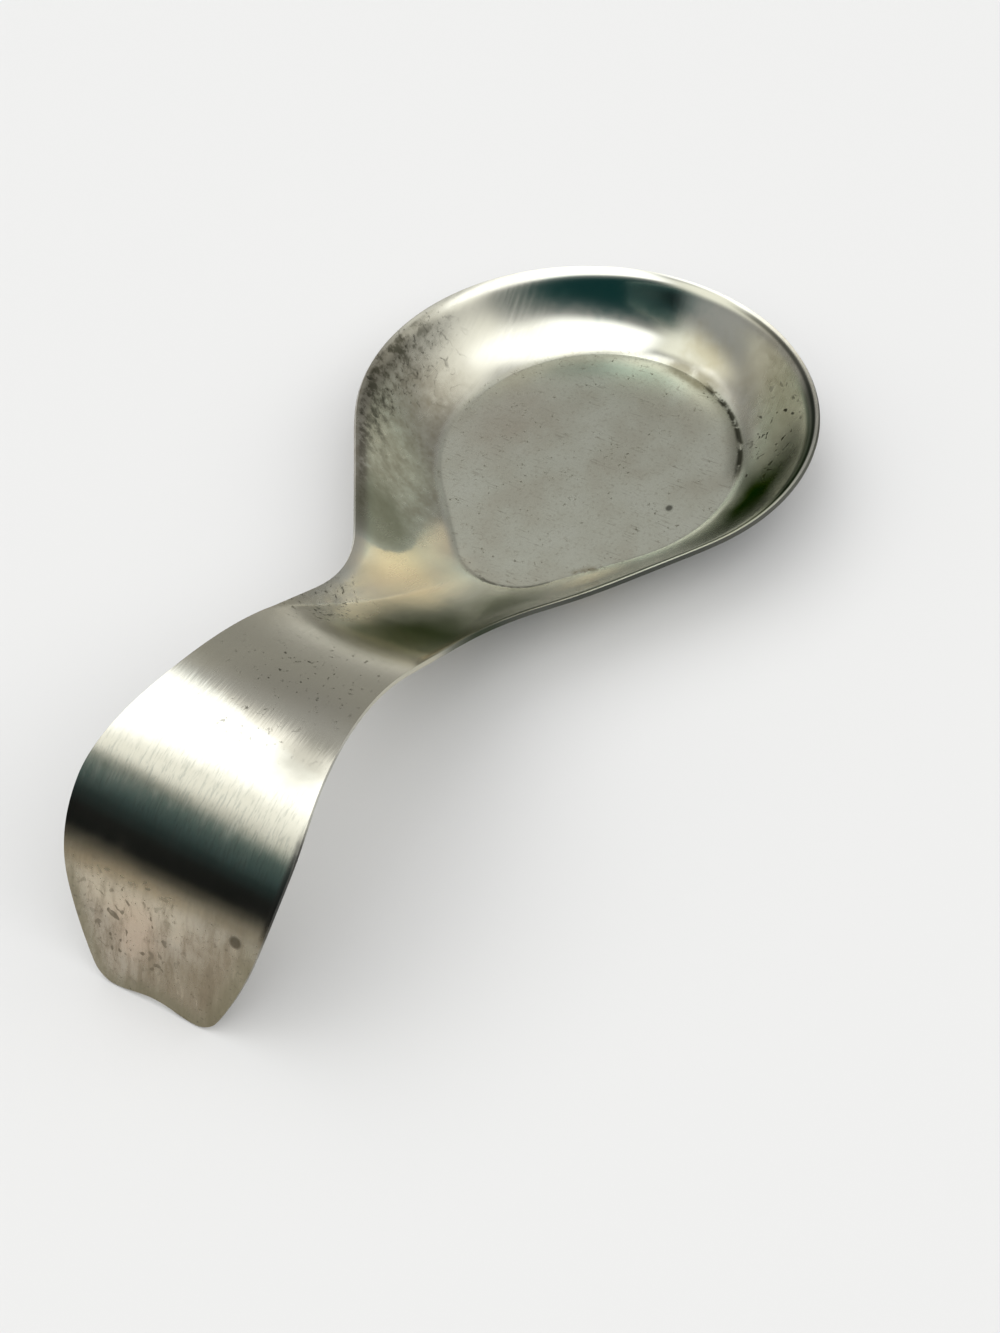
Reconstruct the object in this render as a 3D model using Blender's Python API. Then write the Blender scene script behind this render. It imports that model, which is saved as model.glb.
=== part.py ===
"""Spoon rest pressed from one stainless steel sheet: an egg-shaped bowl, a neck and an arched handle.

Metres, +Z up. The origin is on the table, under the widest line of the bowl. +X points to the far rim
and the handle runs towards -X. The underside is drawn first, as half a sheet, then mirrored and given
its thickness.
"""
import math

import bmesh
import bpy
from mathutils import Vector
from mathutils.geometry import interpolate_bezier

MM = 0.001

# Sheet
SHEET = 1.0 * MM
EDGE_BREAK = 0.2 * MM

# Rim of the bowl, seen from above: half an ellipse, two straight flanks, and fillets into the neck
BOWL_WIDTH = 107.8 * MM
BOWL_REACH = 56.2 * MM
FLANK_ANGLE = math.radians(32.0)
NECK_WIDTH = 33.6 * MM
NECK_FILLET = 47.0 * MM
NECK_LENGTH = 18.0 * MM

# Rim of the bowl, seen from the side: level, then a bend up to the slope of the handle
RIM_HEIGHT = 18.9 * MM
RAMP_ANGLE = math.radians(26.5)
RAMP_AHEAD = 4.6 * MM
RIM_BEND = 90.0 * MM

# Shallow dish along the neck: its depth, how far up the handle it starts, and how soon it is full
NECK_DISH = 1.5 * MM
DISH_AHEAD = 20.0 * MM
DISH_RISE = 36.0 * MM

# Flat floor, seen from above: half an ellipse, two straight flanks and a round nose
FLOOR_WIDTH = 70.6 * MM
FLOOR_REACH = 40.3 * MM
FLOOR_AHEAD = 3.3 * MM
FLOOR_FLANK_ANGLE = math.radians(39.0)
FLOOR_NOSE = 14.0 * MM
FLOOR_FLAT = 0.9

# Wall between floor and rim: a dish that turns over into a flared lip
CREASE_ANGLE = math.radians(24.0)
LIP_ANGLE = math.radians(24.0)
LIP_START = 0.84

# Handle, seen from the side: slope, crest, shoulder and a straight leg down to the table
RAMP_LENGTH = 1.6 * MM
CREST_RADIUS = 57.5 * MM
CREST_TURN = math.radians(6.3)
SHOULDER_RADIUS = 31.5 * MM
LEG_LEAN = math.radians(15.8)

# Handle, seen flat: swells from the neck, then tapers to a hollowed end with round corners
HANDLE_WIDTH = 45.8 * MM
WIDEST_FROM_END = 39.4 * MM
END_WIDTH = 24.6 * MM
END_HOLLOW = 1.3 * MM
END_FADE = 24.0 * MM
CORNER_RADIUS = 3.0 * MM
WIDE_EASE = 0.21
NECK_EASE = 0.58

# How finely the sheet is divided, on each half
HANDLE_COLUMNS = 6
NECK_STEPS = 5
FILLET_STEPS = 7
FLANK_STEPS = 6
ROUND_STEPS = 18
WALL_STEPS = 9
LIP_STEPS = 3
CORNER_STEPS = 3
TAPER_STEPS = 11
SWELL_STEPS = 20
WELD = 0.001 * MM


def steps(start, end, count):
    """Evenly spaced values from start to end, both included."""
    return [start + (end - start) * i / count for i in range(count + 1)]


def ellipse(centre, reach, half_width, angles):
    """Points of an ellipse on the X axis, at the given parameter angles."""
    return [Vector((centre + reach * math.cos(a), half_width * math.sin(a))) for a in angles]


def tangent_angle(reach, half_width, flank):
    """Parameter angle at which an ellipse runs along a flank that closes in towards -X."""
    return math.pi / 2 + math.atan(reach * math.tan(flank) / half_width)


def neck_corner():
    """Where the line of the rim's flank would cross the side of the neck."""
    half = BOWL_WIDTH / 2
    touch = ellipse(0.0, BOWL_REACH, half, [tangent_angle(BOWL_REACH, half, FLANK_ANGLE)])[0]
    return Vector((touch.x - (touch.y - NECK_WIDTH / 2) / math.tan(FLANK_ANGLE), NECK_WIDTH / 2))


def mouth_x():
    """The line across the neck where the handle's flat strip opens into the bowl."""
    return neck_corner().x - NECK_FILLET * math.tan(FLANK_ANGLE / 2) - NECK_LENGTH


def edge_side(x):
    """Underside height of the sheet's edge at x, and its slope along X: level, bend, then ramp."""
    level = RIM_HEIGHT - SHEET
    ramp_foot = neck_corner().x + RAMP_AHEAD
    into_bend = ramp_foot + RIM_BEND * math.tan(RAMP_ANGLE / 2) - x
    if into_bend <= 0.0:
        return level, 0.0
    if into_bend >= RIM_BEND * math.sin(RAMP_ANGLE):
        return level + (ramp_foot - x) * math.tan(RAMP_ANGLE), -math.tan(RAMP_ANGLE)
    drop = math.sqrt(RIM_BEND ** 2 - into_bend ** 2)
    return level + RIM_BEND - drop, -into_bend / drop


def rim_outline():
    """Half the rim in plan, from the middle of the mouth to the far end."""
    half = BOWL_WIDTH / 2
    start = mouth_x()
    mouth = [Vector((start, y)) for y in steps(0.0, NECK_WIDTH / 2, HANDLE_COLUMNS)]
    fillet_start = start + NECK_LENGTH
    neck = [Vector((x, NECK_WIDTH / 2)) for x in steps(start, fillet_start, NECK_STEPS)[1:]]
    fillet = [Vector((fillet_start + NECK_FILLET * math.sin(a),
                      NECK_WIDTH / 2 + NECK_FILLET * (1.0 - math.cos(a))))
              for a in steps(0.0, FLANK_ANGLE, FILLET_STEPS)[1:]]
    touch = tangent_angle(BOWL_REACH, half, FLANK_ANGLE)
    far_round = ellipse(0.0, BOWL_REACH, half, steps(touch, 0.0, ROUND_STEPS))
    flank = [fillet[-1].lerp(far_round[0], f) for f in steps(0.0, 1.0, FLANK_STEPS)]
    return mouth + neck + fillet + flank[1:-1] + far_round


def floor_outline():
    """Half the floor in plan, from its nose to its far end, with a point for each point of the rim."""
    half = FLOOR_WIDTH / 2
    touch = tangent_angle(FLOOR_REACH, half, FLOOR_FLANK_ANGLE)
    far_round = ellipse(FLOOR_AHEAD, FLOOR_REACH, half, steps(touch, 0.0, ROUND_STEPS))
    flank_normal = Vector((-math.sin(FLOOR_FLANK_ANGLE), math.cos(FLOOR_FLANK_ANGLE)))
    centre = (FLOOR_NOSE - flank_normal.dot(far_round[0])) / math.sin(FLOOR_FLANK_ANGLE)
    nose_end = math.pi / 2 + FLOOR_FLANK_ANGLE
    nose = ellipse(centre, FLOOR_NOSE, FLOOR_NOSE,
                   steps(math.pi, nose_end, HANDLE_COLUMNS + NECK_STEPS + FILLET_STEPS))
    flank = [nose[-1].lerp(far_round[0], f) for f in steps(0.0, 1.0, FLANK_STEPS)]
    return nose + flank[1:-1] + far_round


def soft_step(share):
    """A soft step from 0 to 1, level at both ends."""
    share = min(1.0, max(0.0, share))
    return share * share * (3.0 - 2.0 * share)


def neck_half(x):
    """Half width of the sheet at x, along the neck and its fillets."""
    past_neck = max(0.0, x - mouth_x() - NECK_LENGTH)
    on_fillet = min(past_neck, NECK_FILLET * math.sin(FLANK_ANGLE))
    bulge = NECK_FILLET - math.sqrt(NECK_FILLET ** 2 - on_fillet ** 2)
    return NECK_WIDTH / 2 + bulge + (past_neck - on_fillet) * math.tan(FLANK_ANGLE)


def dip(x, share, nose_x):
    """How far the neck lies below its edges at x, and at a share of the half width from the middle."""
    start = mouth_x() - DISH_AHEAD
    deepest = start + DISH_RISE
    depth = NECK_DISH * soft_step((x - start) / DISH_RISE) * soft_step((nose_x - x) / (nose_x - deepest))
    return depth * max(0.0, 1.0 - share ** 2)


def rim_slopes(rim):
    """How steeply the sheet climbs at each rim point, as a slope in plan.

    Across the mouth it is the handle's slope. Along the edge it follows the rim's own rise, and the
    outward flare grows from nothing at the neck to the full lip at the end of the fillet.
    """
    slopes = []
    for i, point in enumerate(rim):
        if i <= HANDLE_COLUMNS:
            slopes.append(Vector((-math.tan(RAMP_ANGLE), 0.0)))
            continue
        behind = rim[i - 1]
        ahead = rim[i + 1] if i + 1 < len(rim) else Vector((point.x, -rim[i - 1].y))
        along = (ahead - behind).normalized()
        outward = Vector((-along.y, along.x))
        flare = soft_step((i - HANDLE_COLUMNS) / (NECK_STEPS + FILLET_STEPS))
        rise = edge_side(point.x)[1] * along.x
        slopes.append(along * rise + outward * math.tan(LIP_ANGLE) * flare)
    return slopes


def wall_height(share, run, rim_height, rim_climb):
    """Height of the wall at a share of its run: one parabola for the dish, one for the lip.

    The climbs are heights gained per whole run: at the crease, where dish and lip meet, and at the rim.
    """
    crease_climb = math.tan(CREASE_ANGLE) * run
    turn_climb = 2.0 * rim_height - LIP_START * crease_climb - (1.0 - LIP_START) * rim_climb
    if share <= LIP_START:
        return crease_climb * share + (turn_climb - crease_climb) * share ** 2 / (2.0 * LIP_START)
    left = 1.0 - share
    return rim_height - rim_climb * left - (turn_climb - rim_climb) * left ** 2 / (2.0 * (1.0 - LIP_START))


def bowl_rows():
    """Rows of the bowl's underside, from a ring inside the flat floor up to the rim."""
    rim = rim_outline()
    floor = floor_outline()
    slopes = rim_slopes(rim)
    shares = steps(0.0, LIP_START, WALL_STEPS) + steps(LIP_START, 1.0, LIP_STEPS)[1:]
    middle = Vector((FLOOR_AHEAD, 0.0))
    rows = [[middle.lerp(point, FLOOR_FLAT).to_3d() for point in floor]]
    for share in shares:
        row = []
        for i, (low, high) in enumerate(zip(floor, rim)):
            reach = high - low
            rim_height = edge_side(high.x)[0]
            height = wall_height(share, reach.length, rim_height, slopes[i].dot(reach))
            spot = low.lerp(high, share)
            height -= dip(spot.x, spot.y / neck_half(spot.x), floor[0].x)
            row.append(spot.to_3d() + Vector((0.0, 0.0, height)))
        rows.append(row)
    return rows


def handle_profile():
    """Underside of the handle from the side, as lengths and turns from the mouth down to the table.

    Returns the total length and a function that gives the place at a distance from the foot.
    """
    leg_angle = math.pi / 2 - LEG_LEAN
    start = Vector((mouth_x(), edge_side(mouth_x())[0]))
    crest_start = start + RAMP_LENGTH * Vector((-math.cos(RAMP_ANGLE), math.sin(RAMP_ANGLE)))
    crest_centre = crest_start - CREST_RADIUS * Vector((math.sin(RAMP_ANGLE), math.cos(RAMP_ANGLE)))
    shoulder_start = crest_centre + CREST_RADIUS * Vector((-math.sin(CREST_TURN), math.cos(CREST_TURN)))
    shoulder_centre = shoulder_start + SHOULDER_RADIUS * Vector((math.sin(CREST_TURN), -math.cos(CREST_TURN)))
    leg_start = shoulder_centre + SHOULDER_RADIUS * Vector((-math.sin(leg_angle), math.cos(leg_angle)))
    leg_length = leg_start.y / math.sin(leg_angle)
    shoulder_length = SHOULDER_RADIUS * (leg_angle - CREST_TURN)
    crest_length = CREST_RADIUS * (CREST_TURN + RAMP_ANGLE)
    total = leg_length + shoulder_length + crest_length + RAMP_LENGTH

    def place(distance):
        if distance <= leg_length:
            down = leg_length - distance
            return leg_start - down * Vector((math.cos(leg_angle), math.sin(leg_angle)))
        distance -= leg_length
        if distance <= shoulder_length:
            a = leg_angle - distance / SHOULDER_RADIUS
            return shoulder_centre + SHOULDER_RADIUS * Vector((-math.sin(a), math.cos(a)))
        distance -= shoulder_length
        if distance <= crest_length:
            a = CREST_TURN - distance / CREST_RADIUS
            return crest_centre + CREST_RADIUS * Vector((-math.sin(a), math.cos(a)))
        left = RAMP_LENGTH - (distance - crest_length)
        return start + left * Vector((-math.cos(RAMP_ANGLE), math.sin(RAMP_ANGLE)))

    return total, place


def strip_stations(total):
    """Distance from the foot and half width of the flat strip, from its end to the mouth."""
    wide = HANDLE_WIDTH / 2
    corner = [CORNER_RADIUS * (1.0 - math.cos(a)) for a in steps(0.0, math.pi / 2, CORNER_STEPS)]
    taper = steps(CORNER_RADIUS, WIDEST_FROM_END, TAPER_STEPS)
    stations = []
    for distance in corner + taper[1:-1]:
        half = wide - (wide - END_WIDTH / 2) * (1.0 - distance / WIDEST_FROM_END) ** 2
        inside = max(0.0, CORNER_RADIUS - distance)
        half -= CORNER_RADIUS - math.sqrt(CORNER_RADIUS ** 2 - inside ** 2)
        stations.append(Vector((distance, half)))
    swell = total - WIDEST_FROM_END
    return stations + interpolate_bezier(Vector((WIDEST_FROM_END, wide)),
                                         Vector((WIDEST_FROM_END + WIDE_EASE * swell, wide)),
                                         Vector((total - NECK_EASE * swell, NECK_WIDTH / 2)),
                                         Vector((total, NECK_WIDTH / 2)), SWELL_STEPS + 1)


def handle_rows():
    """Rows across half the handle's underside, from its end on the table to the mouth of the bowl."""
    total, place = handle_profile()
    nose_x = floor_outline()[0].x
    rows = []
    for distance, half in strip_stations(total):
        fade = max(0.0, 1.0 - distance / END_FADE)
        row = []
        for share in steps(0.0, 1.0, HANDLE_COLUMNS):
            hollow = END_HOLLOW * fade * (1.0 + math.cos(math.pi * share)) / 2
            spot = place(distance + hollow)
            row.append(Vector((spot.x, half * share, spot.y - dip(spot.x, share, nose_x))))
        rows.append(row)
    return rows


def skin(bm, rows):
    """Cover rows of points with four-sided faces, and return the vertices of the first row."""
    grid = [[bm.verts.new(point) for point in row] for row in rows]
    for low, high in zip(grid, grid[1:]):
        for i in range(len(low) - 1):
            bm.faces.new((low[i], low[i + 1], high[i + 1], high[i]))
    return grid[0]


def half_sheet():
    """The underside on the +Y side, as one open surface whose faces look up."""
    bm = bmesh.new()
    floor = skin(bm, bowl_rows())
    bm.faces.new(floor)
    skin(bm, [row[::-1] for row in handle_rows()])
    bmesh.ops.remove_doubles(bm, verts=bm.verts, dist=WELD)
    bmesh.ops.recalc_face_normals(bm, faces=bm.faces)
    bm.faces.ensure_lookup_table()
    if bm.faces[0].normal.z < 0.0:
        bmesh.ops.reverse_faces(bm, faces=bm.faces)
    mesh = bpy.data.meshes.new("spoon_rest")
    bm.to_mesh(mesh)
    bm.free()
    return mesh


def stainless():
    """Satin stainless steel, a little yellowed with use."""
    material = bpy.data.materials.new("stainless_steel")
    material.use_nodes = True
    shader = material.node_tree.nodes["Principled BSDF"]
    shader.inputs["Base Color"].default_value = (0.55, 0.53, 0.47, 1.0)
    shader.inputs["Metallic"].default_value = 1.0
    shader.inputs["Roughness"].default_value = 0.28
    return material


def spoon_rest():
    """The whole pressing: the half sheet mirrored, thickened upwards, with its cut edges broken."""
    piece = bpy.data.objects.new("spoon_rest", half_sheet())
    bpy.context.scene.collection.objects.link(piece)
    piece.data.materials.append(stainless())
    piece.data.shade_smooth()
    mirror = piece.modifiers.new("other_half", "MIRROR")
    mirror.use_axis = (False, True, False)
    mirror.merge_threshold = WELD
    shell = piece.modifiers.new("sheet", "SOLIDIFY")
    shell.thickness = SHEET
    shell.offset = 1.0
    shell.use_even_offset = True
    shell.use_quality_normals = True
    edge = piece.modifiers.new("edge_break", "BEVEL")
    edge.width = EDGE_BREAK
    edge.segments = 1
    edge.limit_method = "ANGLE"
    edge.angle_limit = math.radians(60.0)
    return piece


for old in list(bpy.data.objects):
    bpy.data.objects.remove(old)
spoon_rest()
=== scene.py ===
# %% [markdown]
# # A pressed steel spoon rest
# This lesson dresses a finished CAD part for the camera. The real object is one sheet of stainless
# steel: an egg-shaped bowl with a flat floor, a narrow neck, and a handle that arches up and comes down
# to the table on a straight leg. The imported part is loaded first, because it is the ruler: everything
# made later keeps to its size and place.

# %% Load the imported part
import math

import bmesh
import bpy
from mathutils import Matrix, Vector, kdtree
from mathutils.geometry import interpolate_bezier


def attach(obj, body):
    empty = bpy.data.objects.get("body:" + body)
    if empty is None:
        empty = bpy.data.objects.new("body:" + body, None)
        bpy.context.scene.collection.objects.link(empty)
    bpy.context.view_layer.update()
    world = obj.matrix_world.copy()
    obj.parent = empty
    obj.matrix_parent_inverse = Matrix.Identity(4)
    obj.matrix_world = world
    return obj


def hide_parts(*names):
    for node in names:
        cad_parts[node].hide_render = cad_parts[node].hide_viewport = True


MM = 0.001

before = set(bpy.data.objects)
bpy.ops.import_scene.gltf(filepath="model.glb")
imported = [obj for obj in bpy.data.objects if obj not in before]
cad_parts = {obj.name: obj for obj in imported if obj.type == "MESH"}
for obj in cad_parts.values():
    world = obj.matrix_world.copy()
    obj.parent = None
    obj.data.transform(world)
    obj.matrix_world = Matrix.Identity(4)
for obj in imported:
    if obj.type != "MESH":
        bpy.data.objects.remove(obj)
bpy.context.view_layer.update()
print("packed nodes:", sorted(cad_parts))

# %% [markdown]
# ## The rule behind the sheet
# A drawn pressing is a few plain lines that meet softly: an outline from above, a rise of the edge from
# the side, and a wall that joins the two. Typing their sizes is slower than pulling points about by eye,
# but then the pretty sheet follows the same rule as the CAD sheet and can't drift away from it. Each size
# is typed once, in the step that needs it first. The floor and the rim share one count of points, so that
# every ring fits the next.

# %% Gauge of the sheet, and the points that each stretch of its outline gets
SHEET = 1.0 * MM
HANDLE_COLUMNS = 6
NECK_STEPS = 5
FILLET_STEPS = 7
FLANK_STEPS = 6
ROUND_STEPS = 18
print("sheet", round(SHEET / MM, 1), "mm thick")

# %% [markdown]
# ## The flat floor of the bowl
# The floor is the part of the blank that the press left flat, so it is the natural place to begin: a
# circle, pushed out to the egg shape. A grid cut to the outline would work too, but it would put steps
# along the crease. A circle keeps its points in order round the ring, and numbering them once lets every
# later ring be placed by the same numbers.

# %% Outline of the floor
FLOOR_WIDTH = 70.6 * MM
FLOOR_REACH = 40.3 * MM
FLOOR_AHEAD = 3.3 * MM
FLOOR_FLANK_ANGLE = math.radians(39.0)
FLOOR_NOSE = 14.0 * MM


def steps(start, end, count):
    """Evenly spaced values from start to end, both included."""
    return [start + (end - start) * i / count for i in range(count + 1)]


def ellipse(centre, reach, half_width, angles):
    """Points of an ellipse on the X axis, at the given parameter angles."""
    return [Vector((centre + reach * math.cos(a), half_width * math.sin(a))) for a in angles]


def tangent_angle(reach, half_width, flank):
    """Parameter angle at which an ellipse runs along a flank that closes in towards the neck."""
    return math.pi / 2 + math.atan(reach * math.tan(flank) / half_width)


def floor_half():
    """Half the floor's outline, from its nose to its far end."""
    half = FLOOR_WIDTH / 2
    touch = tangent_angle(FLOOR_REACH, half, FLOOR_FLANK_ANGLE)
    far_round = ellipse(FLOOR_AHEAD, FLOOR_REACH, half, steps(touch, 0.0, ROUND_STEPS))
    flank_normal = Vector((-math.sin(FLOOR_FLANK_ANGLE), math.cos(FLOOR_FLANK_ANGLE)))
    centre = (FLOOR_NOSE - flank_normal.dot(far_round[0])) / math.sin(FLOOR_FLANK_ANGLE)
    nose_end = math.pi / 2 + FLOOR_FLANK_ANGLE
    nose = ellipse(centre, FLOOR_NOSE, FLOOR_NOSE,
                   steps(math.pi, nose_end, HANDLE_COLUMNS + NECK_STEPS + FILLET_STEPS))
    flank = [nose[-1].lerp(far_round[0], f) for f in steps(0.0, 1.0, FLANK_STEPS)]
    return nose + flank[1:-1] + far_round


def whole_ring(half):
    """A half outline and its mirror image, anticlockwise from the nose."""
    near = [Vector((point.x, -point.y)) for point in half]
    return near + list(reversed(half[1:-1]))


floor_ring = whole_ring(floor_half())
print("floor outline:", len(floor_ring), "points")

# %% A numbered circle
bpy.ops.object.select_all(action="DESELECT")
bpy.ops.mesh.primitive_circle_add(vertices=len(floor_ring), radius=FLOOR_WIDTH / 4, fill_type="NGON")
sheet = bpy.context.active_object
sheet.name = "pressed_sheet"
sheet.data.name = "pressed_sheet"
bpy.ops.object.mode_set(mode="EDIT")
bm = bmesh.from_edit_mesh(sheet.data)
station = bm.verts.layers.int.new("station")
bm.verts.ensure_lookup_table()
for number, vert in enumerate(bm.verts):
    vert[station] = number
bmesh.update_edit_mesh(sheet.data)
print("circle of", len(floor_ring), "numbered points")

# %% The circle becomes the floor
FLOOR_MIDDLE = Vector((FLOOR_AHEAD, 0.0))
INNER_RINGS = (0.3, 0.55, 0.8, 0.93)
CREASE_HOLD = 0.7 * MM


def place(points):
    """Move each selected vertex to the point that has its number."""
    mesh = bmesh.from_edit_mesh(sheet.data)
    numbers = mesh.verts.layers.int["station"]
    for corner in mesh.verts:
        if corner.select:
            corner.co = points[corner[numbers]]
    bmesh.update_edit_mesh(sheet.data)


def floor_share(share):
    """The floor's outline drawn in towards its middle, on the table."""
    return [FLOOR_MIDDLE.lerp(point, share).to_3d() for point in floor_ring]


bpy.ops.mesh.select_mode(type="VERT")
bpy.ops.mesh.select_all(action="SELECT")
place(floor_share(INNER_RINGS[0]))
bpy.ops.mesh.select_mode(type="EDGE")
bpy.ops.mesh.select_all(action="SELECT")
bpy.ops.mesh.region_to_loop()
hold_share = 1.0 - CREASE_HOLD / (FLOOR_WIDTH / 2)
for share in (*INNER_RINGS[1:], hold_share, 1.0):
    bpy.ops.mesh.extrude_edges_indiv()
    place(floor_share(share))
print("floor drawn out to", round(FLOOR_WIDTH / MM, 1), "mm")

# %% [markdown]
# ## The wall and its flared lip
# The punch drew the wall up out of the floor: it leaves the crease at a modest slope, steepens like a
# dish, and near the top turns back outwards into a lip. One way would be a spin, but the bowl is an egg
# and not round. Extruding the ring again and again, and placing each new ring by a rule of two
# parabolas, gives a wall that leans the right amount all the way round and melts into the neck.

# %% Sizes of the rim and the neck
BOWL_WIDTH = 107.8 * MM
BOWL_REACH = 56.2 * MM
FLANK_ANGLE = math.radians(32.0)
NECK_WIDTH = 33.6 * MM
NECK_FILLET = 47.0 * MM
NECK_LENGTH = 18.0 * MM
RIM_HEIGHT = 18.9 * MM
RAMP_ANGLE = math.radians(26.5)
RAMP_AHEAD = 4.6 * MM
RIM_BEND = 90.0 * MM
print("bowl", round(BOWL_WIDTH / MM, 1), "mm wide, neck", round(NECK_WIDTH / MM, 1), "mm")


# %% Outline and rise of the rim
def neck_corner():
    """Where the line of the rim's flank would cross the side of the neck."""
    half = BOWL_WIDTH / 2
    touch = ellipse(0.0, BOWL_REACH, half, [tangent_angle(BOWL_REACH, half, FLANK_ANGLE)])[0]
    return Vector((touch.x - (touch.y - NECK_WIDTH / 2) / math.tan(FLANK_ANGLE), NECK_WIDTH / 2))


MOUTH_X = neck_corner().x - NECK_FILLET * math.tan(FLANK_ANGLE / 2) - NECK_LENGTH


def edge_side(x):
    """Underside height of the sheet's edge at x, and its slope along X: level, bend, then ramp."""
    level = RIM_HEIGHT - SHEET
    ramp_foot = neck_corner().x + RAMP_AHEAD
    into_bend = ramp_foot + RIM_BEND * math.tan(RAMP_ANGLE / 2) - x
    if into_bend <= 0.0:
        return level, 0.0
    if into_bend >= RIM_BEND * math.sin(RAMP_ANGLE):
        return level + (ramp_foot - x) * math.tan(RAMP_ANGLE), -math.tan(RAMP_ANGLE)
    drop = math.sqrt(RIM_BEND ** 2 - into_bend ** 2)
    return level + RIM_BEND - drop, -into_bend / drop


def rim_half():
    """Half the rim in plan, from the middle of the mouth to the far end."""
    half = BOWL_WIDTH / 2
    mouth = [Vector((MOUTH_X, y)) for y in steps(0.0, NECK_WIDTH / 2, HANDLE_COLUMNS)]
    fillet_start = MOUTH_X + NECK_LENGTH
    neck = [Vector((x, NECK_WIDTH / 2)) for x in steps(MOUTH_X, fillet_start, NECK_STEPS)[1:]]
    fillet = [Vector((fillet_start + NECK_FILLET * math.sin(a),
                      NECK_WIDTH / 2 + NECK_FILLET * (1.0 - math.cos(a))))
              for a in steps(0.0, FLANK_ANGLE, FILLET_STEPS)[1:]]
    touch = tangent_angle(BOWL_REACH, half, FLANK_ANGLE)
    far_round = ellipse(0.0, BOWL_REACH, half, steps(touch, 0.0, ROUND_STEPS))
    flank = [fillet[-1].lerp(far_round[0], f) for f in steps(0.0, 1.0, FLANK_STEPS)]
    return mouth + neck + fillet + flank[1:-1] + far_round


rim_ring = whole_ring(rim_half())
print("rim outline:", len(rim_ring), "points, mouth at", round(MOUTH_X / MM, 1), "mm")

# %% Slope of the lip and height of the wall
CREASE_ANGLE = math.radians(24.0)
LIP_ANGLE = math.radians(24.0)
LIP_START = 0.84


def soft_step(share):
    """A soft step from 0 to 1, level at both ends."""
    share = min(1.0, max(0.0, share))
    return share * share * (3.0 - 2.0 * share)


def rim_slope(number):
    """How steeply the sheet climbs at a rim point, as a slope in plan: ramp at the mouth, lip beyond."""
    count = len(rim_ring)
    from_nose = min(number, count - number)
    if from_nose <= HANDLE_COLUMNS:
        return Vector((-math.tan(RAMP_ANGLE), 0.0))
    along = (rim_ring[(number + 1) % count] - rim_ring[number - 1]).normalized()
    outward = Vector((along.y, -along.x))
    flare = soft_step((from_nose - HANDLE_COLUMNS) / (NECK_STEPS + FILLET_STEPS))
    rise = edge_side(rim_ring[number].x)[1] * along.x
    return along * rise + outward * math.tan(LIP_ANGLE) * flare


def wall_height(share, run, rim_height, rim_climb):
    """Height at a share of the wall's run: one parabola for the dish, one for the lip."""
    crease_climb = math.tan(CREASE_ANGLE) * run
    turn_climb = 2.0 * rim_height - LIP_START * crease_climb - (1.0 - LIP_START) * rim_climb
    if share <= LIP_START:
        return crease_climb * share + (turn_climb - crease_climb) * share ** 2 / (2.0 * LIP_START)
    left = 1.0 - share
    return rim_height - rim_climb * left - (turn_climb - rim_climb) * left ** 2 / (2.0 * (1.0 - LIP_START))


far_end = len(rim_ring) // 2
print("slope of the lip at the far end:", round(rim_slope(far_end).length, 3))

# %% [markdown]
# ## The dished neck
# A flat strip bent into a bowl is weak at the bend, so the press dishes the neck: its middle lies a
# millimetre or so below its edges, from the crest of the handle down to the nose of the floor. Pulling
# the middle points down by hand would leave bumps. A soft step along the neck, times a parabola across
# it, can be taken off the height of every point, on the bowl and on the handle alike.

# %% How deep the neck is dished
NECK_DISH = 1.5 * MM
DISH_AHEAD = 20.0 * MM
DISH_RISE = 36.0 * MM
DISH_SAMPLES = 80


def neck_half(x):
    """Half width of the sheet at x, along the neck and its fillets."""
    past_neck = max(0.0, x - MOUTH_X - NECK_LENGTH)
    on_fillet = min(past_neck, NECK_FILLET * math.sin(FLANK_ANGLE))
    bulge = NECK_FILLET - math.sqrt(NECK_FILLET ** 2 - on_fillet ** 2)
    return NECK_WIDTH / 2 + bulge + (past_neck - on_fillet) * math.tan(FLANK_ANGLE)


def dip(x, across):
    """How far the neck lies below its edges at x, and at a share of the half width from the middle."""
    start = MOUTH_X - DISH_AHEAD
    nose_x = floor_ring[0].x
    into = soft_step((x - start) / DISH_RISE)
    out_of = soft_step((nose_x - x) / (nose_x - start - DISH_RISE))
    return NECK_DISH * into * out_of * max(0.0, 1.0 - across ** 2)


deepest = max(dip(x, 0.0) for x in steps(MOUTH_X - DISH_AHEAD, floor_ring[0].x, DISH_SAMPLES))
print("dished by", round(deepest / MM, 2), "mm at most")

# %% Draw the wall up from the crease
FIRST_RING = 0.04
DISH_RINGS = 9
LIP_RINGS = 4


def wall_share(share):
    """The ring of the wall at a share of the way from the crease to the rim."""
    ring = []
    for number, (low, high) in enumerate(zip(floor_ring, rim_ring)):
        reach = high - low
        climb = rim_slope(number).dot(reach)
        spot = low.lerp(high, share)
        height = wall_height(share, reach.length, edge_side(high.x)[0], climb)
        height -= dip(spot.x, spot.y / neck_half(spot.x))
        ring.append(spot.to_3d() + Vector((0.0, 0.0, height)))
    return ring


dish_shares = [FIRST_RING] + steps(0.0, LIP_START, DISH_RINGS)[1:]
lip_shares = steps(LIP_START, 1.0, LIP_RINGS)[1:]
for share in dish_shares + lip_shares:
    bpy.ops.mesh.extrude_edges_indiv()
    place(wall_share(share))
print("wall of", len(dish_shares + lip_shares), "rings up to", round(RIM_HEIGHT / MM, 1), "mm")

# %% [markdown]
# ## The handle
# The handle is the same sheet going on: up the ramp out of the neck, over a broad crest, round a tighter
# shoulder and straight down to the table. It could be a curve with a bevel, but its width changes all
# the way: it swells from the neck and tapers to an end with rounded corners and a shallow hollow.
# Extruding the mouth's edges row by row lets each row have its own width.

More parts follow.
